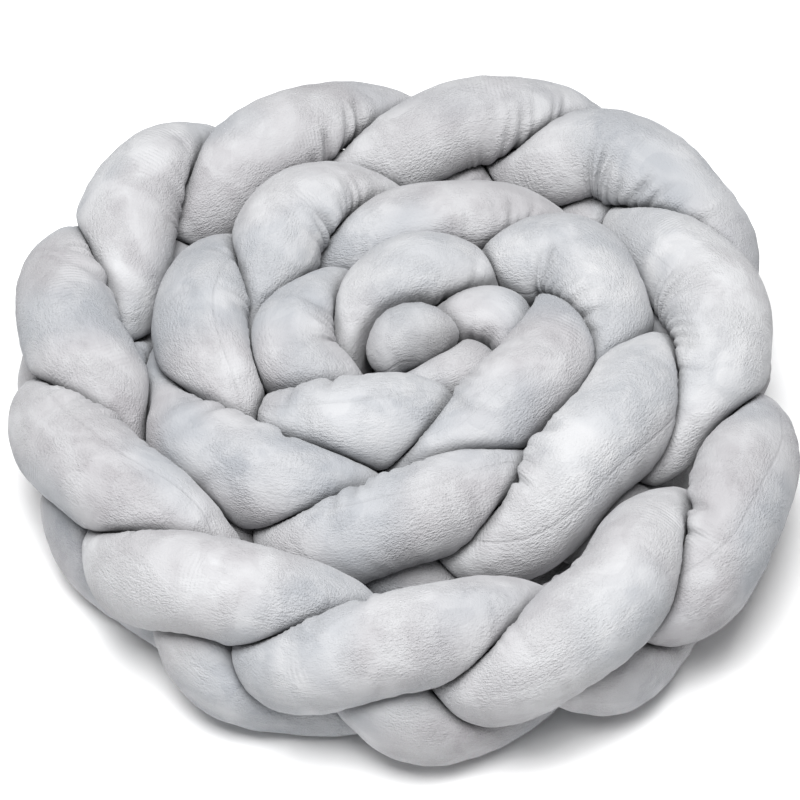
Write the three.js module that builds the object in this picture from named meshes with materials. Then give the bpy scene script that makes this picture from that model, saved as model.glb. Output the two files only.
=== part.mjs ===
import * as THREE from 'three';

// Braided cushion: three stuffed plush tubes laced into a flat braid.
// The braid stands on its edge and winds clockwise, seen from above, from its tucked outer end
// to the middle of a round pad. Millimetres and degrees, +Z up, the pad resting on z = 0.

// Tube and braid: a tube's free radius, the height of the braid's middle line, how far a tube rises
// over an edge and swings across the braid, and how early it turns over at each face.
const TUBE_RADIUS = 38;
const MID_HEIGHT = 70;
const EDGE_RISE = 37.5;
const FACE_SWING = 10;
const SWING_SKEW = -0.38;

// Brings the middle of the pad's box over the origin
const PAD_SHIFT = { x: 0.17, y: 0.06 };

// Settling: middles closer than the least spacing push each other apart, less so upright,
// and least of all at the crowns.
const LEAST_SPACING = 37;
const OWN_BEND_SPAN = 75;
const SETTLE_PASSES = 40;
const SETTLE_SHARE = 0.4;
const SETTLE_UPRIGHT_SHARE = 0.3;
const CROWN_HOLD = 0.7;
const EASING_ROUNDS = 3;

// Pressing: the space between tubes, how crisply they flatten, and how far off one can press
const PARTING = 1.0;
const PRESS_SHARPNESS = 7;
const PRESS_SPAN = 180;

// Fineness of the solids, and how far a corner may stand out from those around it
const TRACE_STEPS_PER_LOBE = 30;
const SAMPLE_STEP = 8;
const RING_STEP = 20;
const RING_SIDES = 12;
const END_TAPER = 40;
const END_RING_ANGLES = [30, 60];
const DRAW_IN_PASSES = 8;
const ROUNDING_PASSES = 3;
const MOST_STAND_OUT = 1.08;

// One row for each lobe that passes over the upper edge, from the outer end inwards.
// bearing and reach place the lobe around the middle of the pad, lift raises its crown,
// girth and swing scale its radius and its travel across the braid, flare tips its crown outwards.
const LOBE_COLUMNS = ['bearing', 'reach', 'lift', 'girth', 'flare', 'swing'];
const LOBES = [
  // outer end, hidden under the outer turn
  [9, 282, -60, 0.85, 4, 0.6],
  // outer turn
  [-22, 260, -8, 0.97, 6, 1],
  [-57, 252, 0, 0.94, 12, 0.2],
  [-88, 238, 0, 0.92, 2, 0.3],
  [-120, 230, 0, 0.94, 3, 0.7],
  [-155, 232, 0, 0.98, 10, 0.7],
  [172, 244, 0, 1, 12, 0.4],
  [141, 259, 0, 0.97, 12, 0.4],
  [112, 243, 0, 0.95, 12, 0.4],
  [76, 251, 0, 0.93, 12, 0.7],
  [49, 269, 0, 0.97, 12, 1],
  [10, 237, 8, 1.03, 12, 1],
  // middle turn
  [-28, 158, 4, 1.05, 12, 1],
  [-86, 130, -2, 0.9, 10, 1],
  [-138, 140, -4, 0.95, 10, 0.6],
  [168, 147, 0, 0.98, 10, 0],
  [121, 163, 0, 0.97, 10, 0.4],
  [78, 143, -6, 0.92, 10, 1],
  [34, 158, 4, 1.03, 10, 1],
  // inner turn
  [-24, 86, 6, 1.03, 8, 0.8],
  [-119, 65, 0, 1, 6, 0.6],
  [175, 80, -6, 1, 5, 1],
  [80, 71, 0, 1, 4, 1.2],
  // middle of the pad
  [30, 76, -16, 0.86, 0, 0.7],
  [8, 50, -14, 0.85, 0, 0.5],
  [60, 26, 0, 0.95, 0, 0.5],
];

// Each tube crosses over at every third lobe. first and last count lobes from the outer end.
const TUBES_IN_BRAID = 3;
const TUBES = [
  { name: 'strand_1', crossing: 1, first: 0.35, last: 25.6 },
  { name: 'strand_2', crossing: 2, first: 1.15, last: 23.95 },
  { name: 'strand_3', crossing: 3, first: 0.95, last: 24.7 },
];

const UP = new THREE.Vector3(0, 0, 1);

function lobeRow(values) {
  const row = {};
  LOBE_COLUMNS.forEach((column, index) => {
    row[column] = values[index];
  });
  const bearing = THREE.MathUtils.degToRad(row.bearing);
  return {
    x: row.reach * Math.cos(bearing),
    y: row.reach * Math.sin(bearing),
    lift: row.lift,
    girth: row.girth,
    flare: THREE.MathUtils.degToRad(row.flare),
    swing: row.swing,
  };
}

const ROWS = LOBES.map(lobeRow);

// A row past either end continues the last two in a straight line.
function rowValue(index, column) {
  const last = ROWS.length - 1;
  if (index < 0) {
    return ROWS[0][column] + index * (ROWS[1][column] - ROWS[0][column]);
  }
  if (index > last) {
    return ROWS[last][column] + (index - last) * (ROWS[last][column] - ROWS[last - 1][column]);
  }
  return ROWS[index][column];
}

// A smooth curve through one column, at a place counted in lobes.
function along(place, column) {
  const start = Math.floor(place);
  const t = place - start;
  const [a, b, c, d] = [-1, 0, 1, 2].map((offset) => rowValue(start + offset, column));
  const bend = 3 * (b - c) + d - a;
  return b + 0.5 * t * (c - a + t * (2 * a - 5 * b + 4 * c - d + t * bend));
}

// Middle of a tube at a place along the braid: over the upper edge, down the outer face,
// under the lower edge and up the inner face, once in every three lobes.
function tubeMiddle(tube, place) {
  const nudge = 0.001;
  const headingX = along(place + nudge, 'x') - along(place - nudge, 'x');
  const headingY = along(place + nudge, 'y') - along(place - nudge, 'y');
  const pace = Math.hypot(headingX, headingY);
  const turn = (2 * Math.PI * (place - tube.crossing)) / TUBES_IN_BRAID;
  const weave = Math.sin(2 * turn) + SWING_SKEW * Math.sin(4 * turn);
  const across = FACE_SWING * along(place, 'swing') * weave;
  const rise = EDGE_RISE * Math.cos(turn);
  const flare = along(place, 'flare');
  const outward = across * Math.cos(flare) + (rise - EDGE_RISE) * Math.sin(flare);
  const crown = (1 + Math.cos(turn)) / 2;
  return new THREE.Vector3(
    along(place, 'x') - (headingY / pace) * outward + PAD_SHIFT.x,
    along(place, 'y') + (headingX / pace) * outward + PAD_SHIFT.y,
    MID_HEIGHT + along(place, 'lift') * crown + rise - across * Math.sin(flare),
  );
}

// Follows a tube closely and marks its middle and girth at even steps along its length.
function traceTube(tube) {
  const count = Math.ceil((tube.last - tube.first) * TRACE_STEPS_PER_LOBE);
  const points = [];
  const places = [];
  for (let step = 0; step <= count; step += 1) {
    places.push(THREE.MathUtils.lerp(tube.first, tube.last, step / count));
    points.push(tubeMiddle(tube, places[step]));
  }
  const lengths = [0];
  for (let step = 1; step <= count; step += 1) {
    lengths.push(lengths[step - 1] + points[step].distanceTo(points[step - 1]));
  }
  const total = lengths[count];
  const markCount = Math.round(total / SAMPLE_STEP);
  const marks = [];
  let upper = 1;
  for (let mark = 0; mark <= markCount; mark += 1) {
    const wanted = (total * mark) / markCount;
    while (upper < count && lengths[upper] < wanted) {
      upper += 1;
    }
    const share = (wanted - lengths[upper - 1]) / (lengths[upper] - lengths[upper - 1]);
    const place = THREE.MathUtils.lerp(places[upper - 1], places[upper], share);
    const middle = tubeMiddle(tube, place);
    marks.push({
      home: middle.clone(),
      middle,
      shift: new THREE.Vector3(),
      girth: along(place, 'girth'),
      crown: (1 + Math.cos((2 * Math.PI * (place - tube.crossing)) / TUBES_IN_BRAID)) / 2,
    });
  }
  return { tube, total, marks };
}

const TRACES = TUBES.map(traceTube);

// True where two marks belong to different tubes, or to two turns of one tube.
function apart(trace, index, otherTrace, otherIndex) {
  return trace !== otherTrace || Math.abs(index - otherIndex) * SAMPLE_STEP > OWN_BEND_SPAN;
}

function nearestOther(trace, index) {
  const here = trace.marks[index].middle;
  let nearest = { distance: Infinity, middle: null };
  for (const otherTrace of TRACES) {
    otherTrace.marks.forEach((mark, otherIndex) => {
      const distance = mark.middle.distanceTo(here);
      if (distance < nearest.distance && apart(trace, index, otherTrace, otherIndex)) {
        nearest = { distance, middle: mark.middle };
      }
    });
  }
  return nearest;
}

// Each shift is blended with its neighbours' along the tube, so that bends stay smooth.
function easeShifts(trace) {
  const shifts = trace.marks.map((mark) => mark.shift);
  trace.marks.forEach((mark, index) => {
    const before = shifts[Math.max(0, index - 1)];
    const after = shifts[Math.min(shifts.length - 1, index + 1)];
    const around = before.clone().add(after).multiplyScalar(0.5);
    mark.shift = shifts[index].clone().lerp(around, 0.5);
  });
}

// The filling pushes tubes apart wherever their middles lie too close. Crowns mostly hold.
function settlePass() {
  for (const trace of TRACES) {
    trace.marks.forEach((mark, index) => {
      const nearest = nearestOther(trace, index);
      const lack = Math.max(0, LEAST_SPACING - nearest.distance);
      const away = mark.middle.clone().sub(nearest.middle).normalize();
      away.z *= SETTLE_UPRIGHT_SHARE;
      mark.shift.addScaledVector(away, SETTLE_SHARE * lack * (1 - CROWN_HOLD * mark.crown));
    });
    for (let round = 0; round < EASING_ROUNDS; round += 1) {
      easeShifts(trace);
    }
  }
  for (const trace of TRACES) {
    for (const mark of trace.marks) {
      mark.middle.addVectors(mark.home, mark.shift);
    }
  }
}

for (let pass = 0; pass < SETTLE_PASSES; pass += 1) {
  settlePass();
}

// Middle and girth of a tube at a share of its length.
function tubeAt(trace, share) {
  const last = trace.marks.length - 1;
  const position = THREE.MathUtils.clamp(share, 0, 1) * last;
  const lower = Math.min(Math.floor(position), last - 1);
  const blend = position - lower;
  return {
    middle: trace.marks[lower].middle.clone().lerp(trace.marks[lower + 1].middle, blend),
    girth: THREE.MathUtils.lerp(trace.marks[lower].girth, trace.marks[lower + 1].girth, blend),
  };
}

// Offsets from a middle to every other stretch of tube that can press on it.
function pressingOffsets(trace, share, middle) {
  const index = share * (trace.marks.length - 1);
  return TRACES.flatMap((otherTrace) => otherTrace.marks
    .filter((mark, otherIndex) => apart(trace, index, otherTrace, otherIndex))
    .map((mark) => mark.middle.clone().sub(middle))
    .filter((offset) => offset.length() < PRESS_SPAN));
}

// A station holds what shapes a tube at one place: its middle, its neighbours and two directions
// square to it, of which across is level.
function stationAt(trace, share) {
  const nudge = RING_STEP / 2 / trace.total;
  const { middle, girth } = tubeAt(trace, share);
  const ahead = tubeAt(trace, share + nudge).middle;
  const tangent = ahead.sub(tubeAt(trace, share - nudge).middle).normalize();
  const across = new THREE.Vector3().crossVectors(UP, tangent).normalize();
  const over = new THREE.Vector3().crossVectors(tangent, across);
  const inset = Math.min(1, (Math.min(share, 1 - share) * trace.total) / END_TAPER);
  const free = TUBE_RADIUS * girth * Math.sqrt(inset * (2 - inset));
  return { middle, across, over, free, offsets: pressingOffsets(trace, share, middle) };
}

// Directions around a tube, with flats facing straight up and down.
function sideDirection(station, side) {
  const angle = (2 * Math.PI * (side + 0.5)) / RING_SIDES;
  const sideways = station.across.clone().multiplyScalar(Math.cos(angle));
  return sideways.addScaledVector(station.over, Math.sin(angle));
}

// How far a tube can swell in one direction before it meets its neighbours halfway.
function swellLimit(station, direction) {
  let limit = PRESS_SPAN;
  for (const offset of station.offsets) {
    const towards = direction.dot(offset);
    if (towards > 0) {
      limit = Math.min(limit, (offset.lengthSq() - PARTING * offset.length()) / (2 * towards));
    }
  }
  return limit;
}

// One corner: the free radius gives way softly to the neighbours and flatly to the floor.
function ringCorner(station, side) {
  const direction = sideDirection(station, side);
  const limit = swellLimit(station, direction);
  const pressed = station.free ** -PRESS_SHARPNESS + limit ** -PRESS_SHARPNESS;
  let radius = pressed ** (-1 / PRESS_SHARPNESS);
  if (direction.z < 0) {
    radius = Math.min(radius, station.middle.z / -direction.z);
  }
  return { middle: station.middle, direction, radius };
}

function cornerPoint(corner) {
  return corner.middle.clone().addScaledVector(corner.direction, corner.radius);
}

// Draws an edge in where its midpoint lies past halfway to another tube.
function drawIn(station, corner, otherCorner) {
  const midpoint = cornerPoint(corner).add(cornerPoint(otherCorner)).multiplyScalar(0.5);
  const reach = midpoint.sub(station.middle);
  let room = PRESS_SPAN;
  for (const offset of station.offsets) {
    const span = offset.length();
    room = Math.min(room, (span - PARTING) / 2 - reach.dot(offset) / span);
  }
  if (room < 0) {
    corner.radius += room;
    otherCorner.radius += room;
  }
}

// Where the rings lie: closer together over the round ends, then evenly.
function ringShares(trace) {
  const endLengths = END_RING_ANGLES.map((angle) => (
    END_TAPER * (1 - Math.cos(THREE.MathUtils.degToRad(angle)))
  ));
  const bodyLength = trace.total - 2 * END_TAPER;
  const bodyCount = Math.round(bodyLength / RING_STEP);
  const lengths = [...endLengths];
  for (let step = 0; step <= bodyCount; step += 1) {
    lengths.push(END_TAPER + (bodyLength * step) / bodyCount);
  }
  lengths.push(...endLengths.map((length) => trace.total - length).reverse());
  return lengths.map((length) => length / trace.total);
}

// Rounds off the corners that stand out from those around them, as stuffed cloth does.
function roundOff(rings) {
  const eased = rings.map((corners, ring) => corners.map((corner, side) => {
    const around = [
      (rings[ring - 1] ?? corners)[side],
      (rings[ring + 1] ?? corners)[side],
      corners[(side + 1) % RING_SIDES],
      corners[(side + RING_SIDES - 1) % RING_SIDES],
    ];
    const mean = around.reduce((sum, other) => sum + other.radius, 0) / around.length;
    return Math.min(corner.radius, mean * MOST_STAND_OUT);
  }));
  rings.forEach((corners, ring) => {
    corners.forEach((corner, side) => {
      corner.radius = eased[ring][side];
    });
  });
}

// Rings of corners along a tube, each facet kept on its own side of its neighbours.
function tubeRings(trace) {
  const shares = ringShares(trace);
  const ringStations = shares.map((share) => stationAt(trace, share));
  const betweenStations = shares.slice(1).map((share, index) => (
    stationAt(trace, (share + shares[index]) / 2)
  ));
  const sides = Array.from({ length: RING_SIDES }, (_, side) => side);
  const rings = ringStations.map((station) => sides.map((side) => ringCorner(station, side)));
  for (let pass = 0; pass < DRAW_IN_PASSES; pass += 1) {
    rings.forEach((corners, index) => {
      const nextCorners = rings[index + 1];
      sides.forEach((side) => {
        const nextSide = (side + 1) % RING_SIDES;
        drawIn(ringStations[index], corners[side], corners[nextSide]);
        if (nextCorners) {
          drawIn(betweenStations[index], corners[side], nextCorners[side]);
          drawIn(betweenStations[index], corners[side], nextCorners[nextSide]);
        }
      });
    });
  }
  for (let pass = 0; pass < ROUNDING_PASSES; pass += 1) {
    roundOff(rings);
  }
  return rings;
}

// A closed skin over the rings, drawn to a point at each end.
function tubeGeometry(trace) {
  const rings = tubeRings(trace);
  const points = [trace.marks[0].middle];
  for (const corners of rings) {
    points.push(...corners.map(cornerPoint));
  }
  points.push(trace.marks[trace.marks.length - 1].middle);

  const lastPoint = points.length - 1;
  const lastRing = rings.length - 1;
  const pointIndex = (ring, side) => 1 + ring * RING_SIDES + (side % RING_SIDES);
  const triangles = [];
  for (let side = 0; side < RING_SIDES; side += 1) {
    triangles.push(0, pointIndex(0, side + 1), pointIndex(0, side));
    for (let ring = 0; ring < lastRing; ring += 1) {
      const near = pointIndex(ring, side);
      const nearNext = pointIndex(ring, side + 1);
      const far = pointIndex(ring + 1, side);
      const farNext = pointIndex(ring + 1, side + 1);
      triangles.push(near, nearNext, farNext);
      triangles.push(near, farNext, far);
    }
    triangles.push(lastPoint, pointIndex(lastRing, side), pointIndex(lastRing, side + 1));
  }

  const geometry = new THREE.BufferGeometry().setFromPoints(points);
  geometry.setIndex(triangles);
  geometry.computeVertexNormals();
  return geometry;
}

function plush() {
  return new THREE.MeshStandardMaterial({ color: '#cdcfd2', roughness: 0.95, metalness: 0 });
}

const cushion = new THREE.Group();
for (const trace of TRACES) {
  const strand = new THREE.Mesh(tubeGeometry(trace), plush());
  strand.name = trace.tube.name;
  cushion.add(strand);
}

export default cushion;
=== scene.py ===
import math

import bpy
import numpy as np
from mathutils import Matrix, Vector


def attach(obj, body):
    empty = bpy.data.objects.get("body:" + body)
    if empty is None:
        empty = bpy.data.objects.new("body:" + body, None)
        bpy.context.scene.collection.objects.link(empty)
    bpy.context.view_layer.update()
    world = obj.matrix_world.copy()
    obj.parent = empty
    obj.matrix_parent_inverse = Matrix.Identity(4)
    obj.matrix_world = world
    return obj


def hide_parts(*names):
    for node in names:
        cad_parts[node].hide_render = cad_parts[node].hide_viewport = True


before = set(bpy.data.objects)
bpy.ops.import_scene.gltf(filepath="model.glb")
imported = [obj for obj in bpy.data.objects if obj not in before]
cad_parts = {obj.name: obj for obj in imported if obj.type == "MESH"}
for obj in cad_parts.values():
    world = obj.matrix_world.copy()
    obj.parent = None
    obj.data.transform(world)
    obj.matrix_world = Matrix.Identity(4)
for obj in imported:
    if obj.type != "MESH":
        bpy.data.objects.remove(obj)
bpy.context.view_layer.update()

# Looks of a cushion made of three stuffed plush tubes, braided and wound in a flat spiral.
# The tubes are worked out in millimetres and made in metres, +Z up.

MM = 0.001
TINY = 1e-6

# Tube and braid, as in the CAD part
TUBE_RADIUS = 38
MID_HEIGHT = 70
EDGE_RISE = 37.5
FACE_SWING = 10
SWING_SKEW = -0.38
PAD_SHIFT = np.array([0.17, 0.06])
TUBES_IN_BRAID = 3

# Settling of tubes that lie too close
LEAST_SPACING = 37
OWN_BEND_SPAN = 75
SETTLE_PASSES = 40
SETTLE_SHARE = 0.4
SETTLE_UPRIGHT_SHARE = 0.3
CROWN_HOLD = 0.7
EASING_ROUNDS = 3

# Pressing of tubes against each other
PARTING = 1.0
PRESS_SHARPNESS = 16
PRESS_SPAN = 180
SKIN_ROOM = 0.3
MOST_PRESS = 0.4

# Reaches along a tube over which its heading, its bend and its pressed shape are eased
HEADING_EASE = 4
BEND_EASE = 8
SHAPE_EASE = 3

# How much the soft tubes swell past the CAD solids where they are free
SWELL = 1.025

# Fineness of the cloth
TRACE_STEPS_PER_LOBE = 30
SAMPLE_STEP = 8
RING_STEP = 1.75
RING_SIDES = 50
END_TAPER = 40
END_RINGS = 16

# One row for each lobe that passes over the upper edge, from the outer end inwards.
# The last column holds how smoothly its pile is brushed and painted light and shade for how the light
# falls on the lobe, from ruffled, shaded and darker at 0 to smooth, lit and paler at 1.
LOBE_COLUMNS = ("bearing", "reach", "lift", "girth", "flare", "swing", "nap_and_shade")
LOBES = [
    # outer end, hidden under the outer turn
    (9, 282, -60, 0.85, 4, 0.6, 0.4),
    # outer turn
    (-22, 260, -8, 0.97, 6, 1, 0.2),
    (-57, 252, 0, 0.94, 12, 0.2, 0.6),
    (-88, 238, 0, 0.92, 2, 0.3, 0.65),
    (-120, 230, 0, 0.94, 3, 0.7, 0.65),
    (-155, 232, 0, 0.98, 10, 0.7, 0.5),
    (172, 244, 0, 1, 12, 0.4, 0.35),
    (141, 259, 0, 0.97, 12, 0.4, 0.8),
    (112, 243, 0, 0.95, 12, 0.4, 0.45),
    (76, 251, 0, 0.93, 12, 0.7, 0.6),
    (49, 269, 0, 0.97, 12, 1, 0.5),
    (10, 237, 8, 1.03, 12, 1, 1),
    # middle turn
    (-28, 158, 4, 1.05, 12, 1, 1),
    (-86, 130, -2, 0.9, 10, 1, 0.6),
    (-138, 140, -4, 0.95, 10, 0.6, 0.25),
    (168, 147, 0, 0.98, 10, 0, 0.45),
    (121, 163, 0, 0.97, 10, 0.4, 0.8),
    (78, 143, -6, 0.92, 10, 1, 0.4),
    (34, 158, 4, 1.03, 10, 1, 0.85),
    # inner turn
    (-24, 86, 6, 1.03, 8, 0.8, 0.25),
    (-119, 65, 0, 1, 6, 0.6, 0.6),
    (175, 80, -6, 1, 5, 1, 0.2),
    (80, 71, 0, 1, 4, 1.2, 0.8),
    # middle of the pad
    (30, 76, -16, 0.86, 0, 0.7, 0.3),
    (8, 50, -14, 0.85, 0, 0.5, 0.5),
    (60, 26, 0, 0.95, 0, 0.5, 0.6),
]

# One row for each tube: the lobe where it first crosses over, and its ends counted in lobes.
# seam_start and seam_turns place its sewn seam, in turns around the tube from the level direction.
TUBE_COLUMNS = ("name", "crossing", "first", "last", "seam_start", "seam_turns")
TUBES = [
    ("strand_1", 1, 0.35, 25.6, 0.10, 2.0),
    ("strand_2", 2, 1.15, 23.95, 0.55, -1.5),
    ("strand_3", 3, 0.95, 24.7, 0.30, 1.5),
]

# Creases where the cloth is crowded: their usual spacing along the tube, width and depth,
# and the ranges by which single creases vary. Slant and aim are spreads of a normal draw.
GATHER_SPACING = 6.5
GATHER_WIDTH = 2.2
GATHER_DEPTH = 5
SPACING_RANGE = (0.6, 1.4)
WIDTH_RANGE = (0.8, 1.4)
SPREAD_RANGE = (1.0, 1.7)
DEPTH_RANGE = (0.4, 1)
CREASE_AIM = 0.25
CREASE_SLANT = 0.14
CREASE_RINGS = 12
MOST_CREASE = 1.2
CROWD_BULGE = 0.3

# Bends at which creases begin and are full, and the same for the press of a neighbour
BEND_BEGINS = 0.1
BEND_FULL = 0.4
UPRIGHT_BEND_SHARE = 0.4
PRESS_BEGINS = 0.003
PRESS_FULL = 0.035
PUCKER_REACH = 16
LEAST_PUCKER = 0.12

# Nap of the pile and painted shade on the lower lobes, and how far the painted shade along a contact
# spreads
LOWER_NAP_AND_SHADE = 0.35
SHADE_REACH = 6

# Unevenness of the filling, waves in the cloth, and the seam's groove
LUMP_HEIGHT = 1.5
WAVE_HEIGHT = 0.4
WAVE_SHARE = 0.6
SEAM_DEPTH = 0.8
SEAM_WIDTH = 3.0

# Sets of soft waves over a tube: count, shortest and longest along it, and the most around it
LUMP_WAVES = (14, 55, 170, 2)
CLOTH_WAVES = (24, 11, 30, 7)
PUCKER_WAVES = (12, 60, 160, 1)

# Plush: colours of its ruffled and brushed pile, the pale one also painted light on lit lobes, and
# sizes of the pile in metres
PLUSH_COOL = (0.318, 0.331, 0.354)
PLUSH_WARM = (0.342, 0.333, 0.346)
PLUSH_BRUSHED_AND_LIT = (0.488, 0.491, 0.502)
PILE_HEIGHT = 0.0014
RIB_SPACING = 0.0024
GRAIN_SCALE = 900
TUFT_SCALE = (420, 620, 1)

# Studio, in metres and watts
FLOOR_HALF = 6
FLOOR_TONE = (0.96, 0.96, 0.96, 1)
SURROUND_TONE = (0.98, 0.985, 1.0, 1)
SURROUND_STRENGTH = 0.22
LIGHT_PLACE = (-0.15, -0.4, 2.2)
LIGHT_AIM = (0, 0, 0.05)
LIGHT_SIZE = 1.3
LIGHT_POWER = 86

# The photograph's camera
CAMERA_AIM_HEIGHT = 0.070
CAMERA_DISTANCE = 2.2
CAMERA_ELEVATION = 52
CAMERA_LENS = 133.8


def lobe_table():
    """Lobe rows with level places for bearings, extended in a straight line past both ends."""
    rows = np.array(LOBES, float)
    bearing, reach, lift, girth, flare, swing, _ = rows.T
    bearing = np.radians(bearing)
    level = (reach * np.cos(bearing), reach * np.sin(bearing))
    rows = np.column_stack([*level, lift, girth, np.radians(flare), swing])
    steps = np.arange(1, 4)[:, None]
    before = rows[0] - steps[::-1] * (rows[1] - rows[0])
    after = rows[-1] + steps * (rows[-1] - rows[-2])
    return np.vstack([before, rows, after])


ROWS = lobe_table()


def along(places):
    """Smooth curve through the lobe rows, at places counted in lobes."""
    start = np.floor(places).astype(int)
    t = (places - start)[:, None]
    a, b, c, d = (ROWS[start + 3 + offset] for offset in (-1, 0, 1, 2))
    return b + 0.5 * t * (c - a + t * (2 * a - 5 * b + 4 * c - d + t * (3 * (b - c) + d - a)))


def tube_middle(crossing, places):
    """Middle, girth and crown of a tube at places along the braid."""
    nudge = 0.001
    here = along(places)
    heading = along(places + nudge)[:, :2] - along(places - nudge)[:, :2]
    heading /= np.linalg.norm(heading, axis=1, keepdims=True)
    lift, girth, flare, swing = here[:, 2:6].T
    turn = 2 * np.pi * (places - crossing) / TUBES_IN_BRAID
    across = FACE_SWING * swing * (np.sin(2 * turn) + SWING_SKEW * np.sin(4 * turn))
    rise = EDGE_RISE * np.cos(turn)
    outward = across * np.cos(flare) + (rise - EDGE_RISE) * np.sin(flare)
    crown = (1 + np.cos(turn)) / 2
    normal = np.column_stack([-heading[:, 1], heading[:, 0]])
    level = here[:, :2] + normal * outward[:, None] + PAD_SHIFT
    height = MID_HEIGHT + lift * crown + rise - across * np.sin(flare)
    return np.column_stack([level, height]), girth, crown


def trace_tube(row):
    """Places at even steps along one tube, with its length."""
    tube = dict(zip(TUBE_COLUMNS, row))
    count = math.ceil((tube["last"] - tube["first"]) * TRACE_STEPS_PER_LOBE)
    places = np.linspace(tube["first"], tube["last"], count + 1)
    points = tube_middle(tube["crossing"], places)[0]
    lengths = np.concatenate([[0], np.cumsum(np.linalg.norm(np.diff(points, axis=0), axis=1))])
    total = lengths[-1]
    marks = np.linspace(0, total, round(total / SAMPLE_STEP) + 1)
    mark_places = np.interp(marks, lengths, places)
    home, _, crown = tube_middle(tube["crossing"], mark_places)
    tube.update(total=total, marks=marks, lengths=lengths, places=places, home=home, crown=crown)
    return tube


def settle(tubes):
    """Pushes tubes apart wherever their middles lie too close, smoothly along each tube."""
    home = np.vstack([t["home"] for t in tubes])
    hold = 1 - CROWN_HOLD * np.concatenate([t["crown"] for t in tubes])
    owner = np.concatenate([np.full(len(t["home"]), k) for k, t in enumerate(tubes)])
    index = np.concatenate([np.arange(len(t["home"])) for t in tubes])
    apart = np.abs(index[:, None] - index) * SAMPLE_STEP
    same_bend = (owner[:, None] == owner) & (apart <= OWN_BEND_SPAN)
    shift = np.zeros_like(home)
    everyone = np.arange(len(home))
    for _ in range(SETTLE_PASSES):
        middle = home + shift
        square = (middle**2).sum(1)
        distance = np.sqrt(np.maximum(square[:, None] + square - 2 * middle @ middle.T, 0))
        distance[same_bend] = np.inf
        nearest = distance.argmin(1)
        lack = np.maximum(0, LEAST_SPACING - distance[everyone, nearest])
        away = middle - middle[nearest]
        away /= np.linalg.norm(away, axis=1, keepdims=True)
        away[:, 2] *= SETTLE_UPRIGHT_SHARE
        shift += SETTLE_SHARE * (lack * hold)[:, None] * away
        for k in range(len(tubes)):
            own = shift[owner == k]
            for _ in range(EASING_ROUNDS):
                before = np.vstack([own[:1], own[:-1]])
                after = np.vstack([own[1:], own[-1:]])
                own = 0.5 * own + 0.25 * (before + after)
            shift[owner == k] = own
    for k, tube in enumerate(tubes):
        tube["shift"] = shift[owner == k]
        tube["middle"] = tube["home"] + tube["shift"]


def step_between(values, low, high):
    """Smooth step from 0 at the low value to 1 at the high one."""
    share = np.clip((values - low) / (high - low), 0, 1)
    return share * share * (3 - 2 * share)


def smooth_along(values, step, reach):
    """Blurs values along the tube with a bell of the given reach."""
    half = max(1, int(round(3 * reach / step)))
    bell = np.exp(-0.5 * (np.arange(-half, half + 1) * step / reach) ** 2)
    bell /= bell.sum()
    padded = np.concatenate([np.repeat(values[:1], half, 0), values, np.repeat(values[-1:], half, 0)])
    return sum(weight * padded[k : k + len(values)] for k, weight in enumerate(bell))


def smooth_around(values, rounds):
    """Blurs values around the tube."""
    for _ in range(rounds):
        values = 0.5 * values + 0.25 * (np.roll(values, 1, 1) + np.roll(values, -1, 1))
    return values


def ring_lengths(total):
    """Distances along a tube at which its rings lie, closer together over the round ends."""
    ends = END_TAPER * (1 - np.cos(np.linspace(0.06, np.pi / 2, END_RINGS, endpoint=False)))
    body = np.linspace(END_TAPER, total - END_TAPER, round((total - 2 * END_TAPER) / RING_STEP) + 1)
    return np.concatenate([ends, body, total - ends[::-1]])


def nap_and_shade_along(tube, places):
    """Brushing of the pile and painted light along a tube: its own lobes on top, painted shade below.
    """
    lobes = tube["crossing"] + TUBES_IN_BRAID * np.round((places - tube["crossing"]) / TUBES_IN_BRAID)
    naps_and_shades = np.array([row[LOBE_COLUMNS.index("nap_and_shade")] for row in LOBES])
    crown = (1 + np.cos(2 * np.pi * (places - lobes) / TUBES_IN_BRAID)) / 2
    own = naps_and_shades[np.clip(lobes, 0, len(LOBES) - 1).astype(int)]
    return LOWER_NAP_AND_SHADE + (own - LOWER_NAP_AND_SHADE) * step_between(crown, 0.1, 0.5)


def stations(tube):
    """Middle lines, directions and bending of one tube at its rings."""
    lengths = ring_lengths(tube["total"])
    places = np.interp(lengths, tube["lengths"], tube["places"])
    middle, girth, _ = tube_middle(tube["crossing"], places)
    shift = np.column_stack([np.interp(lengths, tube["marks"], tube["shift"][:, k]) for k in range(3)])
    middle = middle + smooth_along(shift, RING_STEP, SAMPLE_STEP / 2)
    tangent = np.gradient(middle, lengths, axis=0)
    tangent = smooth_along(tangent, RING_STEP, HEADING_EASE)
    tangent /= np.linalg.norm(tangent, axis=1, keepdims=True)
    bend = smooth_along(np.gradient(tangent, lengths, axis=0), RING_STEP, BEND_EASE)
    level = np.cross([0, 0, 1], tangent)
    level /= np.linalg.norm(level, axis=1, keepdims=True)
    over = np.cross(tangent, level)
    inset = np.minimum(1, np.minimum(lengths, tube["total"] - lengths) / END_TAPER)
    free = SWELL * TUBE_RADIUS * girth * np.sqrt(inset * (2 - inset))
    angles = 2 * np.pi * (np.arange(RING_SIDES) + 0.5) / RING_SIDES
    sides = level[:, None] * np.cos(angles)[:, None] + over[:, None] * np.sin(angles)[:, None]
    turn = 2 * np.pi * (places - tube["crossing"]) / TUBES_IN_BRAID
    tube.update(s=lengths, turn=turn, centre=middle, bend=bend, free=free, angles=angles, sides=sides)
    tube["nap_and_shade"] = nap_and_shade_along(tube, places)


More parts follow.
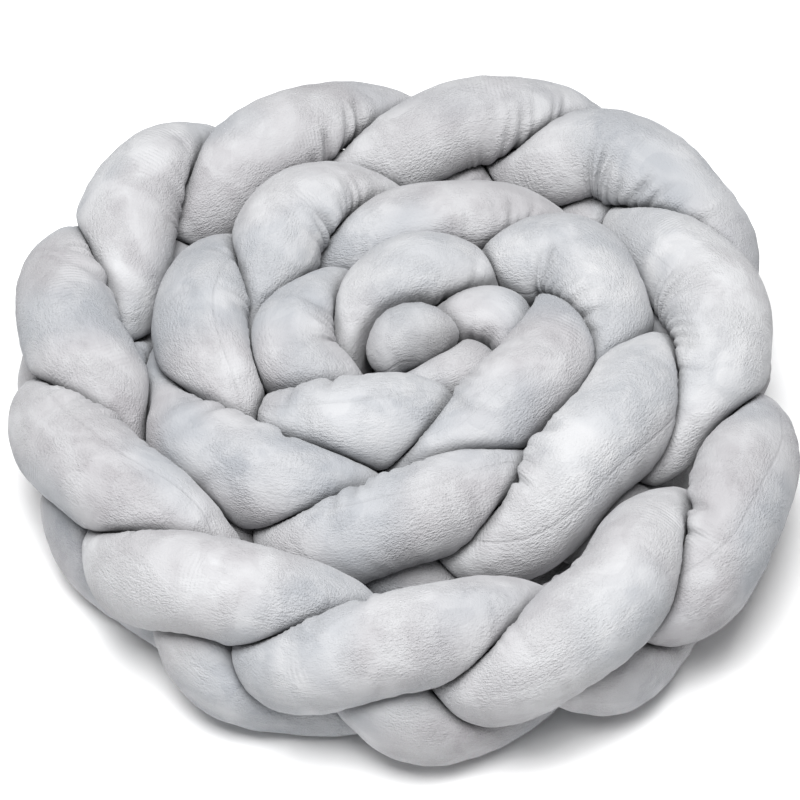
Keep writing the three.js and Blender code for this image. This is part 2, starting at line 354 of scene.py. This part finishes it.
def swell_limits(tube, tubes):
    """How far each point of a tube can swell before it meets its neighbours halfway."""
    others = np.vstack([t["middle"] for t in tubes])
    at = np.concatenate([t["marks"] for t in tubes])
    own = np.concatenate([np.full(len(t["marks"]), t is tube) for t in tubes])
    limits = np.full(tube["sides"].shape[:2], float(PRESS_SPAN))
    for k, (s, centre, sides) in enumerate(zip(tube["s"], tube["centre"], tube["sides"])):
        offsets = others - centre
        span = np.linalg.norm(offsets, axis=1)
        near = (span < PRESS_SPAN) & ~(own & (np.abs(at - s) <= OWN_BEND_SPAN))
        towards = sides @ offsets[near].T
        reach = (span[near] ** 2 - PARTING * span[near]) / (2 * np.maximum(towards, TINY))
        reach[towards <= 0] = PRESS_SPAN
        limits[k] = np.minimum(PRESS_SPAN, reach.min(1))
    return limits


def pressed_radius(tube, limits):
    """Free radius that gives way softly to the neighbours."""
    free = tube["free"][:, None]
    radius = (free**-PRESS_SHARPNESS + limits**-PRESS_SHARPNESS) ** (-1 / PRESS_SHARPNESS)
    return smooth_around(smooth_along(radius, RING_STEP, SHAPE_EASE), 1)


def ripples(tube, random, waves):
    """Sum of a set of soft waves over a tube, about one high."""
    count, shortest, longest, most_around = waves
    total = np.zeros(tube["sides"].shape[:2])
    for _ in range(count):
        length = random.uniform(shortest, longest)
        around = random.integers(-most_around, most_around + 1)
        phase = random.uniform(0, 2 * np.pi)
        total += np.cos(2 * np.pi * tube["s"][:, None] / length + around * tube["angles"] + phase)
    return total / math.sqrt(count)


def turn_apart(angles, middle):
    """Angle from a middle direction, between minus and plus half a turn."""
    return (angles - middle + np.pi) % (2 * np.pi) - np.pi


def bend_crowding(tube):
    """Where the cloth is crowded on the inside of bends, above all of level ones."""
    bend = tube["bend"] * [1, 1, UPRIGHT_BEND_SHARE]
    squeeze = TUBE_RADIUS * np.einsum("ik,ijk->ij", bend, tube["sides"])
    return step_between(squeeze, BEND_BEGINS, BEND_FULL)


def pressing(tube, limits, reach):
    """How hard neighbours press on the cloth, spread past the edge of each contact."""
    press = np.clip(1 - limits / np.maximum(tube["free"], 1)[:, None], 0, MOST_PRESS)
    side = 2 * np.pi * TUBE_RADIUS / RING_SIDES
    return smooth_around(smooth_along(press, RING_STEP, reach), round(2 * (reach / side) ** 2))


def press_crowding(tube, press, random):
    """Where the cloth puckers beside a neighbour that presses on it.

    Most of it lies on the inner face past each crown, where the next lobe comes up.
    """
    inner = step_between(-np.cos(tube["angles"]), -0.2, 0.2)
    past_crown = step_between(np.sin(tube["turn"]), -0.1, 0.35)[:, None]
    stretches = step_between(ripples(tube, random, PUCKER_WAVES), -1.0, 0.1)
    share = LEAST_PUCKER + (1 - LEAST_PUCKER) * inner * past_crown
    return step_between(press, PRESS_BEGINS, PRESS_FULL) * stretches * share


def gathers(tube, press, random):
    """Creases across the tube where the cloth is crowded, and how crowded it is."""
    crowd = np.maximum(bend_crowding(tube), press_crowding(tube, press, random))
    creases = np.zeros_like(crowd)
    for face in (0, np.pi):
        place = 0.0
        while place < tube["total"]:
            place += GATHER_SPACING * random.uniform(*SPACING_RANGE)
            ring = np.searchsorted(tube["s"], place)
            rows = slice(max(0, ring - CREASE_RINGS), ring + CREASE_RINGS + 1)
            off = turn_apart(tube["angles"], face + random.normal(0, CREASE_AIM))
            line = place + TUBE_RADIUS * random.normal(0, CREASE_SLANT) * off
            width = GATHER_WIDTH * random.uniform(*WIDTH_RANGE)
            spread = random.uniform(*SPREAD_RANGE)
            depth = random.uniform(*DEPTH_RANGE)
            across = np.exp(-((np.abs(tube["s"][rows, None] - line) / width) ** 1.5))
            creases[rows] += depth * across * np.exp(-((off / spread) ** 4))
    return np.minimum(creases, MOST_CREASE) * crowd, crowd


def seam_distance(tube):
    """Distance around the tube from its sewn seam."""
    share = tube["s"] / tube["total"]
    middle = 2 * np.pi * (tube["seam_start"] + tube["seam_turns"] * share)
    return TUBE_RADIUS * turn_apart(tube["angles"], middle[:, None])


def cloth_skin(tube, tubes, seed):
    """Points of the cloth of one tube, with the marks that its material uses."""
    random = np.random.default_rng(seed)
    limits = swell_limits(tube, tubes)
    radius = pressed_radius(tube, limits)
    creases, crowd = gathers(tube, pressing(tube, limits, PUCKER_REACH), random)
    seam = seam_distance(tube)
    full = np.minimum(1, tube["free"] / TUBE_RADIUS)[:, None]
    radius = radius + full * LUMP_HEIGHT * WAVE_SHARE * ripples(tube, random, LUMP_WAVES)
    radius = radius + full * WAVE_HEIGHT * WAVE_SHARE * ripples(tube, random, CLOTH_WAVES)
    radius = radius + full * GATHER_DEPTH * (CROWD_BULGE * crowd - creases)
    radius = radius - full * SEAM_DEPTH * np.exp(-((seam / SEAM_WIDTH) ** 2))
    radius = np.minimum(radius, limits - SKIN_ROOM)
    down = -tube["sides"][..., 2]
    floor = tube["centre"][:, None, 2] / np.maximum(down, TINY)
    radius = np.where(down > 0, np.minimum(radius, floor), radius)
    points = tube["centre"][:, None] + tube["sides"] * radius[..., None]
    nap_and_shade = np.repeat(tube["nap_and_shade"][:, None], RING_SIDES, 1)
    # Press of the neighbours, spread a little: the material paints shade along each contact from it.
    press = pressing(tube, limits, SHADE_REACH)
    return points, {"crease_shade": creases, "seam": seam, "press": press, "nap_and_shade": nap_and_shade}


def tube_faces(rings, sides):
    """Four-sided faces between the rings, then a fan of triangles over each end."""
    grid = 1 + np.arange(rings * sides).reshape(rings, sides)
    ahead = np.roll(grid, -1, 1)
    last = rings * sides + 1
    quads = np.stack([grid[:-1], ahead[:-1], ahead[1:], grid[1:]], -1).reshape(-1, 4)
    caps = [(0, int(b), int(a)) for a, b in zip(grid[0], ahead[0])]
    caps += [(last, int(a), int(b)) for a, b in zip(grid[-1], ahead[-1])]
    return quads.tolist() + caps


def cloth_map(mesh, tube, rings, sides):
    """Lays the cloth flat in metres: along the tube, then around it."""
    around = np.arange(sides + 1) * 2 * np.pi * TUBE_RADIUS / sides
    u = np.repeat(tube["s"][:, None], sides + 1, 1)
    v = np.repeat(around[None], rings, 0)
    cloth = np.stack([u, v], -1) * MM
    corners = [cloth[:-1, :-1], cloth[:-1, 1:], cloth[1:, 1:], cloth[1:, :-1]]
    quads = np.stack(corners, 2).reshape(-1, 2)
    caps = np.repeat(cloth[[0, -1], 0], 3 * sides, 0)
    layer = mesh.uv_layers.new(name="cloth")
    layer.data.foreach_set("uv", np.vstack([quads, caps]).astype(np.float32).ravel())


def tube_mesh(name, tube, points, marks):
    """Closed mesh over the rings, with a map of the cloth and the marks of its material."""
    rings, sides = points.shape[:2]
    corners = np.vstack([tube["middle"][:1], points.reshape(-1, 3), tube["middle"][-1:]]) * MM
    mesh = bpy.data.meshes.new(name)
    mesh.from_pydata(corners.tolist(), [], tube_faces(rings, sides))
    mesh.polygons.foreach_set("use_smooth", np.ones(len(mesh.polygons), bool))
    cloth_map(mesh, tube, rings, sides)
    for mark, values in marks.items():
        attribute = mesh.attributes.new(mark, "FLOAT", "POINT")
        values = np.concatenate([values[:1].mean(1), values.ravel(), values[-1:].mean(1)])
        attribute.data.foreach_set("value", values.astype(np.float32))
    mesh.validate()
    mesh.update()
    return mesh


def add_node(tree, kind, **settings):
    """New shader node. Settings that name an input set its value, the others a property."""
    node = tree.nodes.new(kind)
    for name, value in settings.items():
        if name in node.inputs:
            node.inputs[name].default_value = value
        else:
            setattr(node, name, value)
    return node


def join(tree, source, target):
    """Links one socket to another."""
    tree.links.new(source, target)


def sums(tree, operation, first, second=None, clamp=False):
    """Math node over sockets or numbers."""
    node = add_node(tree, "ShaderNodeMath", operation=operation, use_clamp=clamp)
    for socket, value in zip(node.inputs, (first, second)):
        if isinstance(value, (int, float)):
            socket.default_value = value
        elif value is not None:
            join(tree, value, socket)
    return node.outputs[0]


def ranged(tree, value, low, high, to_low=0.0, to_high=1.0):
    """Smooth step of a socket from one range to another."""
    node = add_node(tree, "ShaderNodeMapRange", interpolation_type="SMOOTHSTEP")
    join(tree, value, node.inputs["Value"])
    limits = {"From Min": low, "From Max": high, "To Min": to_low, "To Max": to_high}
    for name, number in limits.items():
        node.inputs[name].default_value = number
    return node.outputs["Result"]


def noise(tree, vector, scale, detail=2.0, rough=0.5, twist=0.0):
    """Noise value over a vector socket."""
    settings = {"Scale": scale, "Detail": detail, "Roughness": rough, "Distortion": twist}
    node = add_node(tree, "ShaderNodeTexNoise", **settings)
    join(tree, vector, node.inputs["Vector"])
    return node.outputs["Fac"]


def blend_colours(tree, share, first, second):
    """Mix of two colours, each a socket or plain numbers."""
    node = add_node(tree, "ShaderNodeMix", data_type="RGBA")
    join(tree, share, node.inputs["Factor"])
    colours = [socket for socket in node.inputs if socket.type == "RGBA"]
    for socket, colour in zip(colours, (first, second)):
        if isinstance(colour, tuple):
            socket.default_value = (*colour, 1)
        else:
            join(tree, colour, socket)
    return next(socket for socket in node.outputs if socket.type == "RGBA")


def mark_socket(tree, name):
    """Value of a mark that the cloth carries."""
    return add_node(tree, "ShaderNodeAttribute", attribute_name=name).outputs["Fac"]


def mapped(tree, vector, scale):
    """A vector socket stretched by a scale for each of its directions."""
    node = add_node(tree, "ShaderNodeMapping", Scale=scale)
    join(tree, vector, node.inputs["Vector"])
    return node.outputs[0]


def plush_tone(tree, place, cloth, ruffled):
    """Pale grey with faint blue and pink, paler where the nap is brushed smooth and where lobes get
    painted light, darker on the lower lobes with painted shade.
    """
    broad = ranged(tree, noise(tree, place, 8, 1), 0.42, 0.58)
    brushed = noise(tree, place, 15, 2, 0.45, 0.6)
    marks = ranged(tree, noise(tree, place, 30, 2, 0.4, 1.2), 0.52, 0.57)
    dabs = ranged(tree, noise(tree, mapped(tree, cloth, (45, 90, 1)), 1, 1, 0.4), 0.5, 0.7)
    # Painted light and shade by lobe, paler on lit lobes and darker on the lower ones, mixed with the
    # brushing of the pile.
    share = sums(tree, "MULTIPLY", mark_socket(tree, "nap_and_shade"), 0.6)
    share = sums(tree, "ADD", share, ranged(tree, brushed, 0.36, 0.64, 0.0, 0.45))
    share = sums(tree, "ADD", share, sums(tree, "MULTIPLY", dabs, 0.15))
    share = sums(tree, "SUBTRACT", share, sums(tree, "MULTIPLY", marks, 0.15))
    share = sums(tree, "SUBTRACT", share, sums(tree, "MULTIPLY", ruffled, 0.1), clamp=True)
    ground = blend_colours(tree, broad, PLUSH_COOL, PLUSH_WARM)
    return blend_colours(tree, share, ground, PLUSH_BRUSHED_AND_LIT)


def plush_shade(tree, grain, ruffled, stitched):
    """Brightness of the cloth: specks of pile, painted shade in contacts and creases, and a darker
    seam line.
    """
    speck = ranged(tree, grain, 0.3, 0.7, -0.05, 0.05)
    speck = sums(tree, "MULTIPLY", speck, sums(tree, "ADD", ruffled, 0.25))
    shade = sums(tree, "ADD", 1.0, speck)
    # Painted shade along the contacts between tubes, up to 35% darker.
    contact_shade = ranged(tree, mark_socket(tree, "press"), 0.015, 0.14, 0.0, 0.35)
    shade = sums(tree, "SUBTRACT", shade, contact_shade)
    # Painted shade in the creases, darker where they are deeper.
    crease_shade = sums(tree, "MULTIPLY", mark_socket(tree, "crease_shade"), 0.15)
    shade = sums(tree, "SUBTRACT", shade, crease_shade)
    return sums(tree, "SUBTRACT", shade, sums(tree, "MULTIPLY", stitched, 0.05))


def plush_height(tree, place, cloth, grain, ruffled, stitched):
    """Height of the pile, taller where it is ruffled and pulled down at the seam."""
    tufts = sums(tree, "MULTIPLY", pile_tufts(tree, cloth), 0.5)
    pile = sums(tree, "ADD", tufts, grain)
    length = sums(tree, "ADD", sums(tree, "MULTIPLY", ruffled, 0.8), 0.4)
    pile = sums(tree, "MULTIPLY", pile, length)
    height = sums(tree, "ADD", pile, plush_ribs(tree, cloth, place))
    return sums(tree, "SUBTRACT", height, sums(tree, "MULTIPLY", stitched, 0.3))


def plush_material():
    """Short-pile plush: nap brushed in patches with painted light and shade on the lobes, painted
    shade in contacts and creases, fine pile, a few ribs and a sewn seam.
    """
    material = bpy.data.materials.new("plush")
    material.use_nodes = True
    tree = material.node_tree
    tree.nodes.clear()
    output = add_node(tree, "ShaderNodeOutputMaterial")
    shader = add_node(tree, "ShaderNodeBsdfPrincipled", Roughness=0.95)
    shader.inputs["Specular IOR Level"].default_value = 0.1
    shader.inputs["Sheen Weight"].default_value = 0.25
    shader.inputs["Sheen Roughness"].default_value = 0.35
    shader.inputs["Sheen Tint"].default_value = (0.95, 0.97, 1.0, 1)
    join(tree, shader.outputs[0], output.inputs["Surface"])

    place = add_node(tree, "ShaderNodeTexCoord").outputs["Object"]
    cloth = add_node(tree, "ShaderNodeUVMap", uv_map="cloth").outputs["UV"]
    grain = noise(tree, place, GRAIN_SCALE, 2, 0.6)
    ruffled = ranged(tree, noise(tree, place, 22, 3, 0.5, 0.6), 0.36, 0.6)
    seam = sums(tree, "ABSOLUTE", mark_socket(tree, "seam"))
    stitched = ranged(tree, seam, 0.4, 1.8, 1.0, 0.0)

    colour = add_node(tree, "ShaderNodeVectorMath", operation="SCALE")
    join(tree, plush_tone(tree, place, cloth, ruffled), colour.inputs[0])
    join(tree, plush_shade(tree, grain, ruffled, stitched), colour.inputs["Scale"])
    join(tree, colour.outputs[0], shader.inputs["Base Color"])

    bump = add_node(tree, "ShaderNodeBump", Strength=0.8, Distance=PILE_HEIGHT)
    height = plush_height(tree, place, cloth, grain, ruffled, stitched)
    join(tree, height, bump.inputs["Height"])
    join(tree, bump.outputs[0], shader.inputs["Normal"])
    return material


def pile_tufts(tree, cloth):
    """Small tufts of pile lying side by side like scales."""
    cells = add_node(tree, "ShaderNodeTexVoronoi", Scale=1.0, Randomness=0.9)
    join(tree, mapped(tree, cloth, TUFT_SCALE), cells.inputs["Vector"])
    return sums(tree, "SUBTRACT", 1.0, cells.outputs["Distance"])


def plush_ribs(tree, cloth, place):
    """Fine lines across the tube where the pile is pressed in rows, here and there."""
    parts = add_node(tree, "ShaderNodeSeparateXYZ")
    join(tree, cloth, parts.inputs[0])
    wander = sums(tree, "MULTIPLY", noise(tree, place, 60, 2), 9.0)
    turns = sums(tree, "MULTIPLY", parts.outputs["X"], 2 * math.pi / RIB_SPACING)
    turns = sums(tree, "ADD", turns, wander)
    waves = sums(tree, "MULTIPLY", sums(tree, "SINE", turns), 0.12)
    where = ranged(tree, noise(tree, place, 17, 1), 0.6, 0.7)
    return sums(tree, "MULTIPLY", waves, where)


def build_cushion():
    """The three tubes of the braid, each in the place of its CAD solid."""
    tubes = [trace_tube(row) for row in TUBES]
    settle(tubes)
    for tube in tubes:
        stations(tube)
    plush = plush_material()
    for seed, tube in enumerate(tubes, 1):
        points, marks = cloth_skin(tube, tubes, seed)
        name = "plush_" + tube["name"]
        piece = bpy.data.objects.new(name, tube_mesh(name, tube, points, marks))
        bpy.context.scene.collection.objects.link(piece)
        piece.data.materials.append(plush)
        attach(piece, "root")
        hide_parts(tube["name"])


def floor_material():
    """Plain pale floor, matt."""
    material = bpy.data.materials.new("floor")
    material.use_nodes = True
    shader = material.node_tree.nodes["Principled BSDF"]
    shader.inputs["Base Color"].default_value = FLOOR_TONE
    shader.inputs["Roughness"].default_value = 0.9
    shader.inputs["Specular IOR Level"].default_value = 0.1
    return material


def build_floor():
    """Square of floor under the cushion."""
    mesh = bpy.data.meshes.new("floor")
    half = FLOOR_HALF
    corners = [(-half, -half, 0), (half, -half, 0), (half, half, 0), (-half, half, 0)]
    mesh.from_pydata(corners, [], [(0, 1, 2, 3)])
    mesh.materials.append(floor_material())
    floor = bpy.data.objects.new("floor", mesh)
    bpy.context.scene.collection.objects.link(floor)


def add_light(name, place, size, power):
    """Square soft light aimed at the cushion."""
    data = bpy.data.lights.new(name, "AREA")
    data.shape = "SQUARE"
    data.size = size
    data.energy = power
    light = bpy.data.objects.new(name, data)
    light.location = place
    aim = Vector(LIGHT_AIM) - Vector(place)
    light.rotation_euler = aim.to_track_quat("-Z", "Y").to_euler()
    bpy.context.scene.collection.objects.link(light)


def build_lights():
    """Pale surroundings and a broad light from above, a little to the front and left."""
    world = bpy.data.worlds.new("studio")
    world.use_nodes = True
    sky = world.node_tree.nodes["Background"]
    sky.inputs["Color"].default_value = SURROUND_TONE
    sky.inputs["Strength"].default_value = SURROUND_STRENGTH
    bpy.context.scene.world = world
    add_light("top_light", LIGHT_PLACE, LIGHT_SIZE, LIGHT_POWER)


def build_camera():
    """Camera at the photograph's angle."""
    camera = bpy.data.objects.new("camera", bpy.data.cameras.new("camera"))
    camera.data.lens = CAMERA_LENS
    camera.data.sensor_width = 36
    camera.data.clip_end = 50
    tilt = math.radians(CAMERA_ELEVATION)
    aim = Vector((*PAD_SHIFT * MM, CAMERA_AIM_HEIGHT))
    camera.location = aim + CAMERA_DISTANCE * Vector((0, -math.cos(tilt), math.sin(tilt)))
    camera.rotation_euler = (aim - camera.location).to_track_quat("-Z", "Y").to_euler()
    bpy.context.scene.collection.objects.link(camera)
    bpy.context.scene.camera = camera


build_cushion()
build_floor()
build_lights()
build_camera()
bpy.context.scene.view_settings.view_transform = "Standard"
